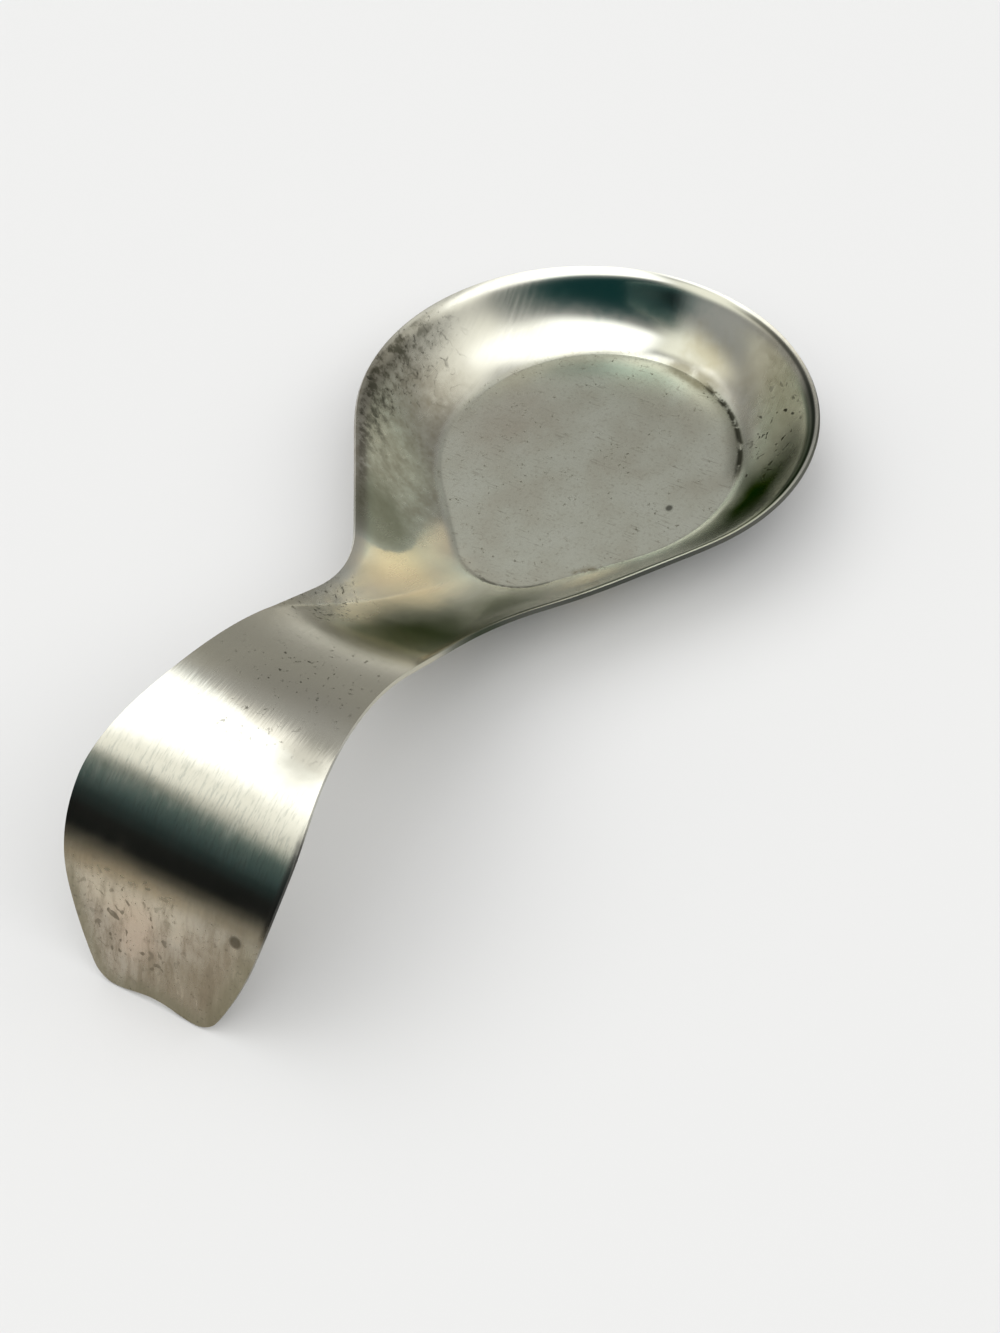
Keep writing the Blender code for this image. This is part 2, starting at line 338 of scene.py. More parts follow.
# %% Side view of the handle
RAMP_LENGTH = 1.6 * MM
CREST_RADIUS = 57.5 * MM
CREST_TURN = math.radians(6.3)
SHOULDER_RADIUS = 31.5 * MM
LEG_LEAN = math.radians(15.8)


def upright(angle):
    """Direction square to a sheet that falls towards the end of the handle at an angle, side on."""
    return Vector((-math.sin(angle), math.cos(angle)))


def handle_side():
    """Total length of the handle, and a function from distance along it to its place from the side."""
    leg_angle = math.pi / 2 - LEG_LEAN
    start = Vector((MOUTH_X, edge_side(MOUTH_X)[0]))
    up_ramp = Vector((-math.cos(RAMP_ANGLE), math.sin(RAMP_ANGLE)))
    crest_centre = start + RAMP_LENGTH * up_ramp - CREST_RADIUS * upright(-RAMP_ANGLE)
    shoulder_centre = crest_centre + (CREST_RADIUS - SHOULDER_RADIUS) * upright(CREST_TURN)
    leg_start = shoulder_centre + SHOULDER_RADIUS * upright(leg_angle)
    leg_length = leg_start.y / math.sin(leg_angle)
    shoulder_length = SHOULDER_RADIUS * (leg_angle - CREST_TURN)
    crest_length = CREST_RADIUS * (CREST_TURN + RAMP_ANGLE)

    def spot(distance):
        if distance <= leg_length:
            down = leg_length - distance
            return leg_start - down * Vector((math.cos(leg_angle), math.sin(leg_angle)))
        distance -= leg_length
        if distance <= shoulder_length:
            return shoulder_centre + SHOULDER_RADIUS * upright(leg_angle - distance / SHOULDER_RADIUS)
        distance -= shoulder_length
        if distance <= crest_length:
            return crest_centre + CREST_RADIUS * upright(CREST_TURN - distance / CREST_RADIUS)
        left = RAMP_LENGTH - (distance - crest_length)
        return start + left * up_ramp

    return leg_length + shoulder_length + crest_length + RAMP_LENGTH, spot


handle_length, handle_spot = handle_side()
print("handle is", round(handle_length / MM, 1), "mm along the sheet")

# %% Flat shape of the handle
HANDLE_WIDTH = 45.8 * MM
WIDEST_FROM_END = 39.4 * MM
END_WIDTH = 24.6 * MM
END_HOLLOW = 1.3 * MM
END_FADE = 24.0 * MM
CORNER_RADIUS = 3.0 * MM
WIDE_EASE = 0.21
NECK_EASE = 0.58
CORNER_ROWS = 4
TAPER_ROWS = 11
SWELL_POINTS = 21


def strip_stations():
    """Distance from the foot and half width of the strip, from its end to the mouth."""
    wide = HANDLE_WIDTH / 2
    corner = [CORNER_RADIUS * (1.0 - math.cos(a)) for a in steps(0.0, math.pi / 2, CORNER_ROWS)]
    taper = steps(CORNER_RADIUS, WIDEST_FROM_END, TAPER_ROWS)
    stations = []
    for distance in corner + taper[1:-1]:
        half = wide - (wide - END_WIDTH / 2) * (1.0 - distance / WIDEST_FROM_END) ** 2
        inside = max(0.0, CORNER_RADIUS - distance)
        half -= CORNER_RADIUS - math.sqrt(CORNER_RADIUS ** 2 - inside ** 2)
        stations.append(Vector((distance, half)))
    swell = handle_length - WIDEST_FROM_END
    return stations + interpolate_bezier(Vector((WIDEST_FROM_END, wide)),
                                         Vector((WIDEST_FROM_END + WIDE_EASE * swell, wide)),
                                         Vector((handle_length - NECK_EASE * swell, NECK_WIDTH / 2)),
                                         Vector((handle_length, NECK_WIDTH / 2)), SWELL_POINTS)


def handle_row(distance, half):
    """A row across the handle, as a point for each number along the mouth."""
    count = len(rim_ring)
    fade = max(0.0, 1.0 - distance / END_FADE)
    row = {}
    for column in range(-HANDLE_COLUMNS, HANDLE_COLUMNS + 1):
        across = -column / HANDLE_COLUMNS
        hollow = END_HOLLOW * fade * (1.0 + math.cos(math.pi * across)) / 2
        side = handle_spot(distance + hollow)
        row[column % count] = Vector((side.x, half * across, side.y - dip(side.x, across)))
    return row


handle_stations = list(reversed(strip_stations()))[1:]
print("handle strip:", len(handle_stations), "rows, up to", round(HANDLE_WIDTH / MM, 1), "mm wide")

# %% Draw the handle out of the mouth
AT_MOUTH = 0.01 * MM
bpy.ops.mesh.select_mode(type="VERT")
bpy.ops.mesh.select_all(action="DESELECT")
bm = bmesh.from_edit_mesh(sheet.data)
for vert in bm.verts:
    vert.select = vert.is_boundary and abs(vert.co.x - MOUTH_X) < AT_MOUTH
bm.select_flush(True)
bmesh.update_edit_mesh(sheet.data)
bpy.ops.mesh.select_mode(type="EDGE")
for distance, half in handle_stations:
    bpy.ops.mesh.extrude_edges_indiv()
    place(handle_row(distance, half))
bpy.ops.object.mode_set(mode="OBJECT")
print("drawn sheet:", len(sheet.data.polygons), "faces")

# %% [markdown]
# ## From a drawn surface to a sheet of steel
# The real sheet is smooth, one gauge thick, and its cut edge was tumbled so that it doesn't scratch.
# Subdivision smooths the rings, Solidify adds the thickness upwards so that the underside stays on the
# table, and a small Bevel rounds the cut edge. In that order the edge stays crisp: subdividing last would
# melt it.

# %% Smooth the surface
smooth = sheet.modifiers.new("smooth", "SUBSURF")
smooth.levels = 2
smooth.render_levels = 2
bpy.ops.object.modifier_apply(modifier=smooth.name)
print("smoothed to", len(sheet.data.polygons), "faces")

# %% Measure how far each point is from the crease and from the cut edge
CREASE_POINTS = 12


def keep_distance(name, points):
    """Store each vertex's distance in mm to the nearest of the points, as an attribute."""
    tree = kdtree.KDTree(len(points))
    for number, point in enumerate(points):
        tree.insert(point, number)
    tree.balance()
    layer = sheet.data.attributes.new(name, "FLOAT", "POINT")
    for number, vert in enumerate(sheet.data.vertices):
        layer.data[number].value = tree.find(vert.co)[2] / MM
    return max(value.value for value in layer.data)


crease_line = []
for here, ahead in zip(floor_ring, floor_ring[1:] + floor_ring[:1]):
    crease_line += [here.lerp(ahead, f).to_3d() for f in steps(0.0, 1.0, CREASE_POINTS)[:-1]]
bm = bmesh.new()
bm.from_mesh(sheet.data)
edge_line = [vert.co.copy() for vert in bm.verts if vert.is_boundary]
bm.free()
print("furthest from the crease:", round(keep_distance("crease_mm", crease_line), 1), "mm")
print("furthest from the edge:", round(keep_distance("edge_mm", edge_line), 1), "mm")

# %% Give it thickness and a soft edge
EDGE_BREAK = 0.22 * MM
gauge = sheet.modifiers.new("gauge", "SOLIDIFY")
gauge.thickness = SHEET
gauge.offset = 1.0
gauge.use_even_offset = True
gauge.use_quality_normals = True
bpy.ops.object.modifier_apply(modifier=gauge.name)
bpy.ops.object.shade_smooth()
tumbled = sheet.modifiers.new("tumbled_edge", "BEVEL")
tumbled.width = EDGE_BREAK
tumbled.segments = 2
tumbled.limit_method = "ANGLE"
tumbled.angle_limit = math.radians(60.0)
tumbled.harden_normals = True
bpy.ops.object.modifier_apply(modifier=tumbled.name)
sheet.data.calc_loop_triangles()
print("finished sheet:", len(sheet.data.loop_triangles), "triangles")

# %% [markdown]
# ## Colours and nodes
# Colours are written as sRGB hex, the way a picker shows them, and turned to the linear values that the
# shader wants. Every material below is a chain of small nodes, so one short function adds a node, sets
# it and links it.


# %% Two helpers for materials
def linear(hex_colour):
    """Linear RGBA of an sRGB hex colour such as C4C4BA."""
    channels = [int(hex_colour[i:i + 2], 16) / 255 for i in (0, 2, 4)]
    return tuple(c / 12.92 if c <= 0.04045 else ((c + 0.055) / 1.055) ** 2.4 for c in channels) + (1.0,)


def add(tree, kind, inputs=None, **settings):
    """Add a node, set its options, then fill or link its inputs."""
    new = tree.nodes.new(kind)
    for name, value in settings.items():
        setattr(new, name, value)
    for socket, value in (inputs or {}).items():
        if isinstance(value, bpy.types.NodeSocket):
            tree.links.new(value, new.inputs[socket])
        else:
            new.inputs[socket].default_value = value
    return new


# %% [markdown]
# ## Brushed stainless steel
# Stainless steel of the 18/8 kind is a grey metal with a faint warm green cast. The sheet was brushed along
# its length before it was pressed, and years of washing have dulled it. So the finish is built up the way
# it came about: clean brushed metal first, then a film or a mark for each thing that happened to it. Some
# of the films are painted shade, painted glints and painted reflections instead, and say so where they are
# laid. Each film has a mask from 0 to 1 that mixes in a colour and a roughness.

# %% Start the steel
steel = bpy.data.materials.new("brushed_18_8_stainless")
steel.use_nodes = True
tree = steel.node_tree
shader = tree.nodes["Principled BSDF"]
shader.inputs["Metallic"].default_value = 1.0
place_mm = add(tree, "ShaderNodeVectorMath",
               {0: add(tree, "ShaderNodeTexCoord").outputs["Object"], 1: [1.0 / MM] * 3},
               operation="MULTIPLY").outputs[0]
axes_mm = add(tree, "ShaderNodeSeparateXYZ", {0: place_mm})
along_mm = axes_mm.outputs["X"]
height_mm = axes_mm.outputs["Z"]
crease_mm = add(tree, "ShaderNodeAttribute", attribute_name="crease_mm").outputs["Fac"]
edge_mm = add(tree, "ShaderNodeAttribute", attribute_name="edge_mm").outputs["Fac"]
print("steel measures places in mm:", len(tree.nodes), "nodes so far")

# %% [markdown]
# ### Grain, streaks and clouds
# Belt brushing leaves fine scratches of a few hundredths of a millimetre, all one way. That is too fine
# to show here, so the grain is drawn about half a millimetre apart. Wider polish streaks and soft clouds
# of wear come on top. They are all the same noise, stretched along the sheet by different amounts.

# %% Brush lines, polish streaks and clouds
GRAIN_MM = (35.0, 0.45, 35.0)
STREAK_MM = (11.0, 0.8, 11.0)
CLOUD_MM = (13.0, 13.0, 13.0)
MOTTLE_MM = (3.2, 3.2, 3.2)


def wear(size_mm, detail, roughness, output="Fac"):
    """Uneven wear from 0 to 1, in features about so many mm long in X, Y and Z."""
    scaled = add(tree, "ShaderNodeVectorMath", {0: place_mm, 1: [1 / size for size in size_mm]},
                 operation="MULTIPLY").outputs[0]
    return add(tree, "ShaderNodeTexNoise", {"Vector": scaled, "Scale": 1.0, "Detail": detail,
                                            "Roughness": roughness}).outputs[output]


grain = wear(GRAIN_MM, detail=3.0, roughness=0.6)
streak = wear(STREAK_MM, detail=3.0, roughness=0.55)
cloud = wear(CLOUD_MM, detail=3.0, roughness=0.55)
mottle = wear(MOTTLE_MM, detail=4.0, roughness=0.65)
print("grain, streaks, clouds and mottle:", len(tree.nodes), "nodes so far")

# %% Clean brushed metal
POLISH_ROUGHNESS = (0.16, 0.25)
BRUSH_ROUGHNESS = 0.03
finish = {"edge": linear("FFFFFF")}
finish["colour"] = add(tree, "ShaderNodeMix", {0: cloud, 6: linear("BFBEB1"), 7: linear("CECDC2")},
                       data_type="RGBA").outputs[2]
polish = add(tree, "ShaderNodeMapRange", {"Value": streak, 1: 0.3, 2: 0.7, 3: POLISH_ROUGHNESS[0],
                                          4: POLISH_ROUGHNESS[1]}).outputs[0]
brushing = add(tree, "ShaderNodeMapRange", {"Value": grain, 1: 0.3, 2: 0.7, 3: -BRUSH_ROUGHNESS,
                                            4: BRUSH_ROUGHNESS}).outputs[0]
finish["rough"] = add(tree, "ShaderNodeMath", {0: polish, 1: brushing}, operation="ADD").outputs[0]
print("clean metal:", sorted(finish))

# %% [markdown]
# ### Where the films lie
# Tarnish has no neat outline. Each film's place is an ellipsoid, given by its middle and its reach in
# millimetres, but it is measured in a space that noise has pushed about, so its edge comes out ragged.
# Painting the patches by hand on a picture would be quicker for one view, and would not survive a change
# of shape.

# %% Ragged patches
SWAY_MM = (16.0, 16.0, 16.0)
FRAY_MM = (3.0, 3.0, 3.0)


def push(size_mm, far_mm):
    """A push in every direction by wear of one size, up to about so many mm."""
    centred = add(tree, "ShaderNodeVectorMath",
                  {0: wear(size_mm, 2.0, 0.5, "Color"), 1: (0.5, 0.5, 0.5)},
                  operation="SUBTRACT").outputs[0]
    return add(tree, "ShaderNodeVectorMath", {0: centred, "Scale": 2.0 * far_mm},
               operation="SCALE").outputs[0]


swayed = add(tree, "ShaderNodeVectorMath", {0: place_mm, 1: push(SWAY_MM, far_mm=5.0)}).outputs[0]
ragged = add(tree, "ShaderNodeVectorMath", {0: swayed, 1: push(FRAY_MM, far_mm=2.4)}).outputs[0]
frayed = add(tree, "ShaderNodeVectorMath", {0: place_mm, 1: push(FRAY_MM, far_mm=1.0)}).outputs[0]


def patch(middle, reach, full=0.3, space=ragged):
    """A patch that is 1 around its middle and fades to 0 at its reach in mm along X, Y and Z."""
    offset = add(tree, "ShaderNodeVectorMath", {0: space, 1: middle}, operation="SUBTRACT").outputs[0]
    scaled = add(tree, "ShaderNodeVectorMath", {0: offset, 1: [1 / r for r in reach]},
                 operation="MULTIPLY").outputs[0]
    away = add(tree, "ShaderNodeVectorMath", {0: scaled}, operation="LENGTH").outputs["Value"]
    return add(tree, "ShaderNodeMapRange", {"Value": away, 1: 1.0, 2: full, 3: 0.0, 4: 1.0},
               interpolation_type="SMOOTHSTEP").outputs[0]


print("three spaces for patches:", len(tree.nodes), "nodes so far")

# %% [markdown]
# ### How a film is limited and laid
# A film seldom ends with its patch alone: it stops at the crease, thins out towards the cut edge, or breaks
# up where the wear is low. So a film takes a list of limits, and lies where all of them hold. A limit is
# a patch or another mask, or a short tuple: a value, and where a soft step in it starts and stops.


# %% Limits and films
def area(limits, share=1.0, nodes=tree):
    """Where all the limits hold, at a share of full strength. A limit is a mask, or a tuple of a value,
    the start and the stop of a soft step in it and, if they aren't 0 and 1, the step's two ends."""
    masks = []
    for limit in limits:
        if isinstance(limit, tuple):
            value, start, stop, low, high = (*limit, 0.0, 1.0)[:5]
            limit = add(nodes, "ShaderNodeMapRange", {"Value": value, 1: start, 2: stop, 3: low, 4: high},
                        interpolation_type="SMOOTHSTEP").outputs[0]
        masks.append(limit)
    whole = masks[0]
    for other in masks[1:] + [share]:
        whole = add(nodes, "ShaderNodeMath", {0: whole, 1: other}, operation="MULTIPLY").outputs[0]
    return whole


def lay(limits, share, colour, rough, edge=None):
    """Lay a film on the steel: mix in its colour, roughness and colour at a grazing angle."""
    mask = area(limits, share)
    finish["colour"] = add(tree, "ShaderNodeMix", {0: mask, 6: finish["colour"], 7: linear(colour)},
                           data_type="RGBA").outputs[2]
    finish["rough"] = add(tree, "ShaderNodeMix", {0: mask, 2: finish["rough"], 3: rough}).outputs[0]
    if edge:
        finish["edge"] = add(tree, "ShaderNodeMix", {0: mask, 6: finish["edge"], 7: linear(edge)},
                             data_type="RGBA").outputs[2]


on_floor = area([(height_mm, 1.9, 1.1)])
off_floor = area([(height_mm, 1.1, 2.4)])
off_lip = area([(edge_mm, 1.4, 3.2)])
inside_lip = area([(edge_mm, 0.4, 1.2)])
mottled = area([(mottle, 0.25, 0.75, 0.55, 1.0)])
blotchy = area([(mottle, 0.42, 0.62)])
print("limits that many films share:", len(tree.nodes), "nodes so far")

# %% [markdown]
# ### The dull floor and walls of the bowl
# Wet spoons stood in the bowl, so it has lost its polish: the floor is an even satin with fine hairlines,
# and the left wall carries a brownish grey film that is darkest just under the rim, where suds dried. The
# right wall has a dark green film along its lower half, which is a painted dark reflection, and near the
# crease on the near side a pale warm film is a painted glint. Only the far wall is still bright; the blue
# green film under its lip is painted shade and painted reflection, which holds down the glow of the round
# light.

# %% Satin floor
FLOOR_CLOUD_MM = (20.0, 14.0, 20.0)
HAIRLINE_MM = (0.5, 6.0, 6.0)
SPECKLE_MM = (0.8, 0.8, 0.8)
floor_cloud = wear(FLOOR_CLOUD_MM, detail=3.0, roughness=0.55)
hairline = wear(HAIRLINE_MM, detail=2.0, roughness=0.5)
speckle = wear(SPECKLE_MM, detail=3.0, roughness=0.6)
floor_left = patch((6.0, 24.0, 1.0), (30.0, 18.0, 6.0), 0.1)
lay([on_floor], 0.95, "C6C7B7", 0.22)
lay([on_floor, (floor_cloud, 0.42, 0.68)], 0.35, "AAA28F", 0.25)
lay([on_floor, (floor_cloud, 0.52, 0.3)], 0.3, "D2D4C8", 0.24)
lay([on_floor, floor_left], 0.3, "A89888", 0.25)
lay([on_floor, (hairline, 0.58, 0.7), blotchy], 0.45, "7A7464", 0.3)
lay([on_floor, (speckle, 0.5, 0.72)], 0.35, "8F8977", 0.3)
print("films on the floor:", len(tree.nodes), "nodes so far")

# %% Brownish grey film on the left wall
left_wall = patch((-28.0, 38.0, 10.0), (48.0, 34.0, 30.0), 0.5)
left_lip = patch((-8.0, 50.0, 17.0), (34.0, 18.0, 12.0), 0.4)
left_rim = patch((-16.0, 47.0, 15.0), (38.0, 18.0, 15.0), 0.4)
left_edge = patch((-38.0, 41.0, 18.0), (38.0, 24.0, 14.0), 0.5, place_mm)
lay([left_wall, off_floor, mottled], 0.9, "847D6D", 0.34)
lay([left_lip, inside_lip, (edge_mm, 7.0, 3.0)], 0.55, "5E5B4E", 0.34)
lay([left_rim, (edge_mm, 12.0, 4.0), inside_lip, blotchy], 0.85, "454438", 0.38)
lay([left_edge, inside_lip, (edge_mm, 3.6, 2.0), blotchy], 0.45, "454336", 0.34)
print("films on the left wall:", len(tree.nodes), "nodes so far")

# %% Dull film on the right wall, with a painted dark reflection and a painted glint
right_wall = patch((34.0, -32.0, 11.0), (42.0, 36.0, 22.0), 0.3)
right_turn = patch((46.0, -12.0, 7.0), (15.0, 17.0, 9.0), 0.3)
right_green_reflection = patch((0.0, -43.0, 7.0), (39.0, 19.0, 16.0), 0.15, swayed)
near_glint = patch((-36.0, -20.0, 3.0), (17.0, 10.0, 6.0), 0.2, swayed)
lay([right_wall, off_floor, mottled], 0.75, "9A9484", 0.3)
lay([right_turn, off_floor], 0.5, "B0A892", 0.24)
# painted reflection: a dark green film across the right wall stands in for a dark reflection
lay([right_green_reflection, off_floor], 1.0, "20281D", 0.24, "AAB0A2")
# painted glint: a near-white warm film on the wall just above the crease, on the near side
lay([near_glint, off_floor], 0.7, "FFF0D2", 0.26)
print("films on the right wall:", len(tree.nodes), "nodes so far")

# %% Bright far wall
far_polish = patch((48.0, 10.0, 11.0), (22.0, 42.0, 20.0), 0.5)
far_rim_shade = patch((50.0, 17.0, 15.0), (18.0, 30.0, 8.0), 0.45)
far_foot = patch((46.0, -10.0, 6.0), (12.0, 10.0, 7.0), 0.2)
lay([far_polish, off_floor], 0.9, "C6C7BD", 0.1)
# painted shade and painted reflection: a blue green film under the far lip dims the glow of the round light
# and paints in a teal reflection
lay([far_rim_shade, off_lip], 0.55, "3C7C7A", 0.12)
lay([far_foot, off_floor], 0.6, "A8A084", 0.2)
print("films on the bowl:", len(tree.nodes), "nodes so far")

# %% [markdown]
# ### Painted shade along the lip
# A thin dark line just inside the bright cut edge is painted shade, standing for the dark reflection on the
# turn of the lip, and the outer face of the edge is painted dark as its shaded side. A line drawn as its
# own curve would have to be fitted to the rim. The distance to the edge was measured above, so a rise and a
# fall in that distance make the line, and the way a face looks tells the outer side of the edge from the
# top.

# %% Painted shade beside the cut edge and on its outer face, on the near and right rim
facing_up = add(tree, "ShaderNodeSeparateXYZ",
                {0: add(tree, "ShaderNodeNewGeometry").outputs["Normal"]}).outputs["Z"]
near_lip_shade = patch((-20.0, -42.0, 22.0), (105.0, 46.0, 30.0), 0.8, place_mm)
right_lip_shade = patch((14.0, -50.0, 17.0), (36.0, 18.0, 12.0), 0.5, place_mm)
below_lip = patch((36.0, -36.0, 12.0), (18.0, 16.0, 10.0), 0.2)
# painted shade: dark lines just inside the cut edge of the near and right rim, standing for a dark
# reflection
lay([(edge_mm, 0.5, 0.9), (edge_mm, 1.9, 1.2), near_lip_shade], 0.75, "30342C", 0.22, "7A8076")
lay([(edge_mm, 0.5, 1.0), (edge_mm, 3.8, 2.2), right_lip_shade], 0.75, "2A302A", 0.22, "7A8478")
lay([below_lip, off_lip, mottled], 0.45, "78745F", 0.28)
# painted shade on the downward outer face of the cut edge, as its shaded side
lay([(edge_mm, 0.3, 0.1), (facing_up, 0.65, 0.45), near_lip_shade], 0.9, "30342F", 0.35, "606460")
print("lines along the lip:", len(tree.nodes), "nodes so far")

# %% [markdown]
# ### The stained neck
# In the neck a dark green patch lies along the low right side: it is partly tarnish and partly a painted
# dark reflection. A straw-coloured patch on the left, where the neck opens into the bowl, is a painted warm
# reflection, and so is a pale trail up the ramp from it. An olive film, a painted darker reflection, hooks
# round the straw one, so the straw is held back where the hook lies.

# %% Dull film in the neck, a pale painted reflection, and olive and green films that paint in darker reflections
dull_neck = patch((-98.0, 14.0, 31.0), (24.0, 9.0, 14.0), 0.4)
pale_trail = patch((-86.0, 9.0, 21.0), (18.0, 8.0, 14.0), 0.2)
olive = patch((-54.0, 24.0, 14.0), (20.0, 13.0, 12.0), 0.4, swayed)
low_olive = patch((-56.0, -9.0, 6.0), (20.0, 8.0, 8.0), 0.2, swayed)
green = patch((-83.0, -6.0, 22.0), (46.0, 20.0, 28.0), 0.1, swayed)
green_lobe = patch((-92.0, -5.0, 28.0), (14.0, 11.0, 11.0), 0.65, place_mm)
lay([dull_neck, mottled], 0.75, "8F8A7A", 0.33)
# painted reflection: a pale warm trail up the ramp of the neck
lay([pale_trail], 0.9, "F3E8CC", 0.3)
# painted reflection: olive films paint in the darker reflection that hooks round the straw patch, and one
# low on the right
lay([olive, off_floor], 0.75, "5F5E48", 0.28)
lay([low_olive], 0.6, "565E4A", 0.28, "C8CCBE")
# partly tarnish, partly painted reflection: the dark green patch and its lobe along the low right side of
# the neck
lay([green], 1.0, "303B27", 0.26, "C4CAB8")
lay([green_lobe], 0.5, "5A5E4C", 0.26, "C4CAB8")
print("green films in the neck:", len(tree.nodes), "nodes so far")

# %% Straw films in the neck, a painted warm reflection
straw = patch((-62.0, 12.0, 11.0), (28.0, 15.0, 18.0), 0.05, swayed)
straw_tip = patch((-44.0, 15.0, 3.0), (14.0, 7.0, 6.0), 0.05, swayed)
hook = patch((-52.0, 26.0, 13.0), (20.0, 11.0, 14.0), 0.8, frayed)
# painted reflection: the straw patch and its tip stand in for a warm reflection
lay([straw, (hook, 1.0, 0.0)], 0.95, "FFE8BC", 0.28)
lay([straw_tip, off_floor], 0.7, "FFECC8", 0.28)
print("films in the neck:", len(tree.nodes), "nodes so far")

# %% [markdown]
# ### The crest and shoulder of the handle
# Fingers keep the crest of the handle bright, and a warm haze is left beside the grip, with a slanted edge
# where a hand wipes it off. A small dark patch on the near side of the crest is a painted shadow. Round the
# shoulder the brushing is worn into short dull streaks. The slanted edge is a step in the distance along
# one tilted direction, which is simpler than a patch of that shape.

# %% Polish and haze on the crest, and a painted shadow
ACROSS_HAZE = (0.956, -0.294, 0.0)
slant = add(tree, "ShaderNodeVectorMath", {0: frayed, 1: ACROSS_HAZE},
            operation="DOT_PRODUCT").outputs["Value"]
warm_crest = patch((-112.0, 0.0, 40.0), (25.0, 50.0, 20.0), 0.65)
bright_shoulder = patch((-162.0, 0.0, 33.0), (9.0, 60.0, 9.0), 0.4)
bright_crest = patch((-138.0, 0.0, 43.0), (10.0, 60.0, 10.0), 0.5, place_mm)
haze = patch((-134.0, -7.0, 43.0), (16.0, 30.0, 14.0), 0.3, place_mm)
near_shadow = patch((-140.0, -15.0, 43.0), (8.0, 8.0, 8.0), 0.2, frayed)
lay([warm_crest], 0.6, "BDB79F", 0.2)
lay([bright_shoulder], 0.8, "C4C4BA", 0.11)
lay([bright_crest], 0.7, "CFCFC4", 0.11)
lay([(slant, -131.4, -129.6), haze], 0.7, "B4B0A2", 0.14)
# painted shadow: a small dark patch on the near side of the crest
lay([near_shadow], 0.7, "88867A", 0.16)
print("films on the crest:", len(tree.nodes), "nodes so far")

# %% Worn streaks round the shoulder, and painted shade on its near edge
WORN_MM = (3.0, 0.45, 3.0)
worn = area([(wear(WORN_MM, detail=4.0, roughness=0.7), 0.48, 0.66)])
worn_band = patch((-152.0, 4.0, 40.0), (5.5, 50.0, 6.0), 0.3, frayed)
upper_streaks = patch((-154.0, 0.0, 38.0), (10.0, 60.0, 12.0), 0.3)
lower_streaks = patch((-166.0, 0.0, 28.0), (9.0, 60.0, 13.0), 0.3)
near_edge_shade = patch((-160.0, -25.0, 31.0), (13.0, 9.0, 15.0), 0.5)
lay([worn_band], 0.8, "9C9A8C", 0.18)
lay([worn, upper_streaks], 0.45, "7B8078", 0.3)
lay([worn, lower_streaks], 0.15, "8A8A80", 0.25)
# painted shade: the near edge of the shoulder and the top of the leg darkened as the shadow side
lay([(edge_mm, 1.4, 0.4), near_edge_shade], 0.8, "26262A", 0.3, "808080")
print("films on the handle:", len(tree.nodes), "nodes so far")

# %% [markdown]
# ### The leg
# The leg stands on wet counters, so it has a brown film in upright runs, paler in the middle and darker
# towards its foot, and one round spot. Its edges are darkened as painted shade. One noise, drawn out along
# the leg, gives both the dark runs and the pale ones: its high values the first, its low values the second.

# %% Brown film on the leg
LEG_CLOUD_MM = (12.0, 2.6, 10.0)
leg_cloud = wear(LEG_CLOUD_MM, detail=5.0, roughness=0.7)
on_leg = area([patch((-168.0, 0.0, 10.0), (22.0, 60.0, 40.0), 0.7, place_mm), (height_mm, 30.0, 18.0)])
leg_top = patch((-167.0, 8.0, 22.0), (9.0, 22.0, 9.0), 0.3)
leg_foot = patch((-172.0, -8.0, 6.0), (10.0, 18.0, 12.0), 0.3)
leg_right = patch((-169.0, -16.0, 17.0), (9.0, 12.0, 15.0), 0.3)
leg_middle = patch((-169.0, 5.0, 15.0), (10.0, 9.0, 9.0), 0.2)
lay([on_leg, (leg_cloud, 0.3, 0.6, 0.7, 1.0)], 0.95, "A49886", 0.26)
lay([leg_top], 0.6, "CEC2AA", 0.26)
lay([leg_foot], 0.55, "7E725A", 0.28)
lay([leg_right], 0.55, "857A64", 0.28)
lay([on_leg, leg_middle], 0.5, "CAB49E", 0.27)
lay([on_leg, (leg_cloud, 0.46, 0.68)], 0.5, "756A57", 0.3)
lay([on_leg, (leg_cloud, 0.44, 0.34)], 0.4, "BCAE98", 0.27)
# painted shade: the leg darkened along its edges, as its shaded side
lay([on_leg, (edge_mm, 5.0, 1.0)], 0.5, "77745C", 0.3)
lay([on_leg, (speckle, 0.58, 0.72)], 0.45, "5A5142", 0.4)
leg_spot = patch((-167.6, -16.4, 23.1), (2.2, 1.6, 1.6), 0.5, place_mm)
lay([leg_spot], 0.75, "4A4334", 0.45)
print("films on the leg:", len(tree.nodes), "nodes so far")

# %% [markdown]
# ### Deposits and tide marks
# Lime and food gather in the crease, and drying drops leave thin curled tide marks. At the far right the
# crease is darkened as well, as painted shade over a bright reflection there. The crease uses the measured
# distance to it, broken up by the mottle. A tide mark is the line where a slow noise passes through its
# middle value.

# %% Deposits in the crease, and painted shade at its far right
broken = area([(mottle, 0.34, 0.5)])
right_crease = patch((30.0, -26.0, 1.0), (26.0, 20.0, 9.0), 0.6)
far_crease_shade = patch((43.0, -9.0, 2.0), (8.0, 13.0, 5.0), 0.4)
nose_crease = patch((-47.0, -4.0, 1.0), (14.0, 10.0, 6.0), 0.5)
near_crease = patch((-36.0, -19.0, 1.0), (12.0, 9.0, 5.0), 0.3)
lay([(crease_mm, 5.0, 0.3), right_crease], 0.65, "45463A", 0.3, "C0C2B6")
lay([(crease_mm, 1.5, 0.5), broken, right_crease], 0.95, "2A2A22", 0.45, "808276")
